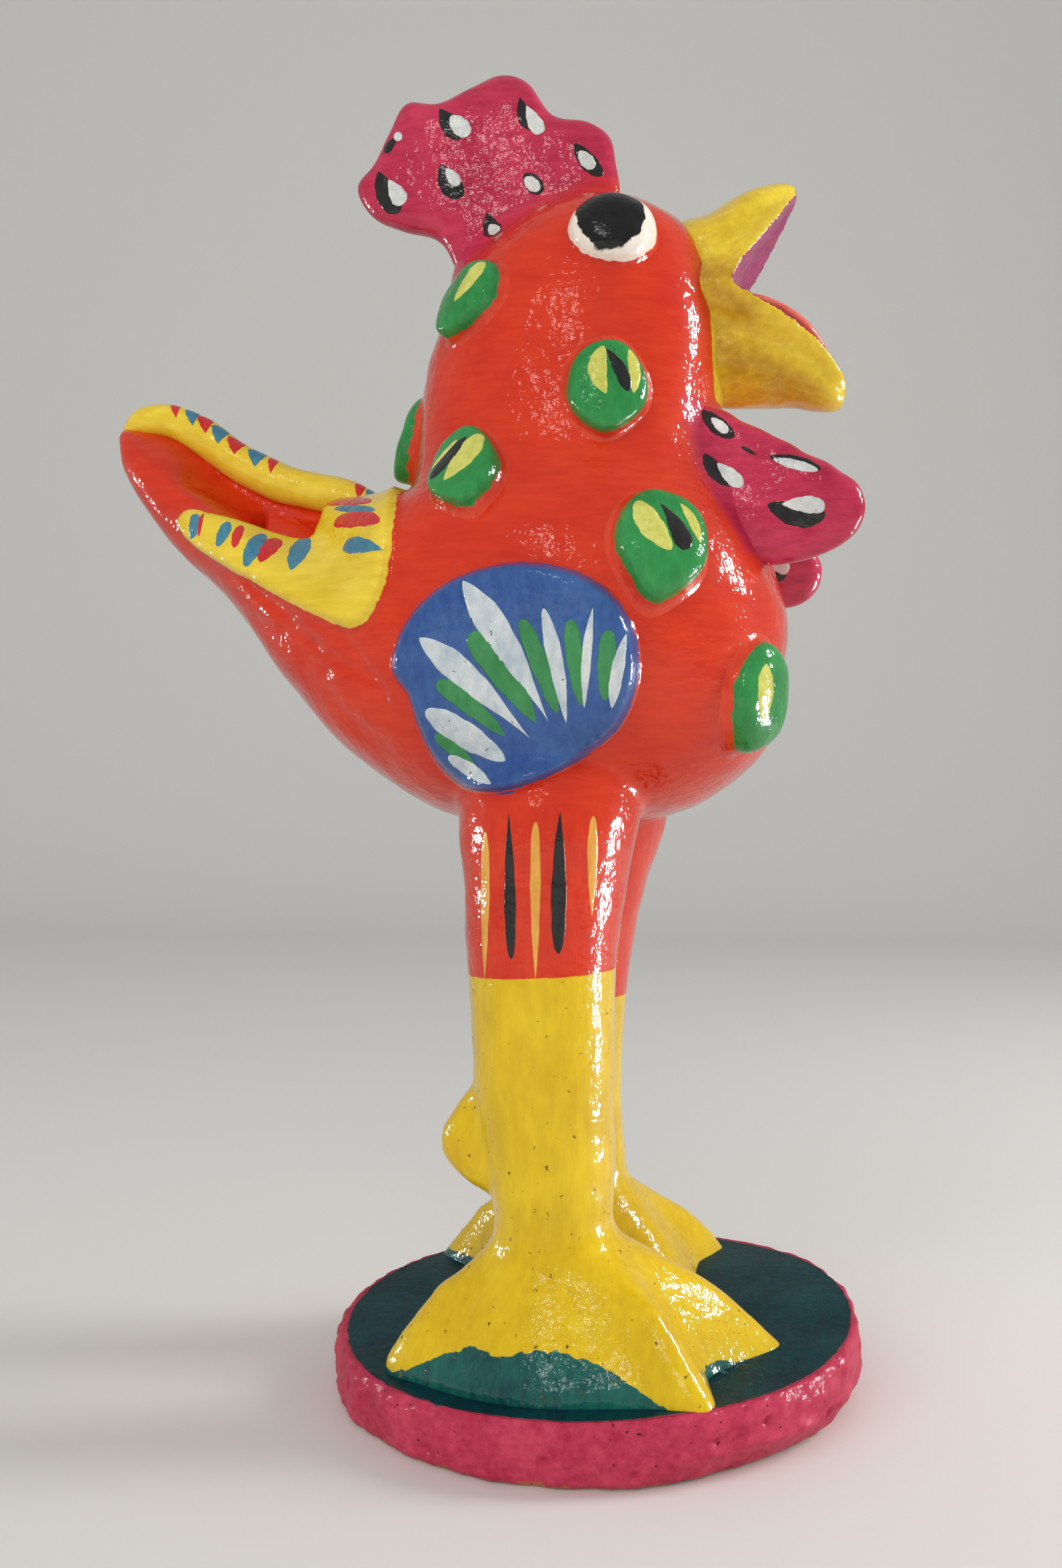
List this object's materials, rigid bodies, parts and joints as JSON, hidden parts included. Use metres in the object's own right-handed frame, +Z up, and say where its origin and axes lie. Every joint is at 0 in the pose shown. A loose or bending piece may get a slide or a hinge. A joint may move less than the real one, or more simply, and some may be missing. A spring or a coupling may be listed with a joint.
{
  "type": "clay rooster figurine",
  "caption": "Standing rooster ornament of painted, varnished clay with an open beak, a wavy comb, raised dots and a round base.",
  "frame": {"origin": "centre of the base's flat underside, on the surface that the figurine stands on", "axes": "+X the way the rooster faces, +Y its left side, +Z up"},
  "size_m": [0.1149, 0.0804, 0.2002],
  "materials": {
    "base_clay": "gloss",
    "leg_clay": "gloss",
    "body_clay": "gloss",
    "comb_clay": "gloss",
    "beak_clay": "gloss",
    "tongue_clay": "gloss",
    "eye_clay": "gloss",
    "wing_clay": "gloss",
    "dot_clay": "gloss",
    "tail_clay": "gloss"
  },
  "bodies": {
    "root": {"base_disc": "base_clay", "foot_right": "leg_clay", "foot_left": "leg_clay", "leg_right": "leg_clay", "leg_left": "leg_clay", "spur_right": "leg_clay", "spur_left": "leg_clay", "body_right_half": "body_clay", "body_left_half": "body_clay", "comb": "comb_clay", "wattle_right": "comb_clay", "wattle_left": "comb_clay", "beak_upper": "beak_clay", "beak_lower": "beak_clay", "tongue": "tongue_clay", "eye_right": "eye_clay", "eye_left": "eye_clay", "wing_right": "wing_clay", "wing_left": "wing_clay", "dot_back": "dot_clay", "dot_right_1": "dot_clay", "dot_right_2": "dot_clay", "dot_right_3": "dot_clay", "dot_right_4": "dot_clay", "dot_right_5": "dot_clay", "dot_left_1": "dot_clay", "dot_left_2": "dot_clay", "dot_left_3": "dot_clay", "dot_left_4": "dot_clay", "dot_left_5": "dot_clay", "tail_crest": "tail_clay", "tail_band_right": "tail_clay", "tail_band_left": "tail_clay"}
  },
  "joints": []
}
